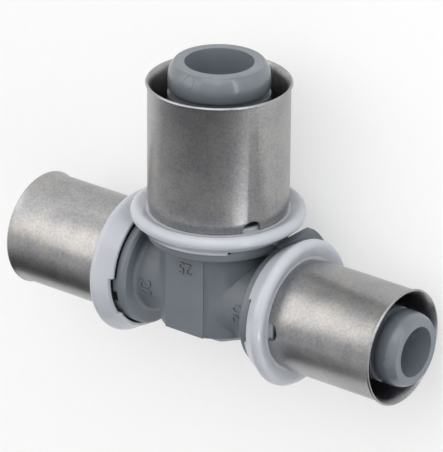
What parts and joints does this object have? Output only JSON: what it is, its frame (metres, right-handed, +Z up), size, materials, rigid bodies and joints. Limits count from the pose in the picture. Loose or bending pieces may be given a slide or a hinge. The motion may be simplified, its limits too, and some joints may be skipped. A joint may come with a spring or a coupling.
{
  "type": "reducing press tee",
  "caption": "Reducing press tee for multilayer pipe: grey moulded body with ribbed insert spigots, steel press sleeves and white stop rings; larger side branch.",
  "frame": {"origin": "crossing of the run axis and the branch axis, on the run bore's axis", "axes": "+X along the run, +Y the way the branch points, +Z up with the part lying on its back; the branch rises 8.2 degrees from the floor"},
  "size_m": [0.0944, 0.0624, 0.0347],
  "materials": {
    "moulded_grey": "satin, injection moulded polyphenylsulfone",
    "sleeve_steel": "satin stainless steel with fine grain",
    "ring_white": "glossy, injection moulded",
    "seal_black": "smooth moulded rubber"
  },
  "bodies": {
    "root": {"tee_body": "moulded_grey", "press_sleeve_left": "sleeve_steel", "press_sleeve_right": "sleeve_steel", "press_sleeve_branch": "sleeve_steel", "stop_ring_left": "ring_white", "stop_ring_right": "ring_white", "stop_ring_branch": "ring_white", "seal_left_outer": "seal_black", "seal_left_inner": "seal_black", "seal_right_outer": "seal_black", "seal_right_inner": "seal_black", "seal_branch_outer": "seal_black", "seal_branch_inner": "seal_black"}
  },
  "joints": []
}
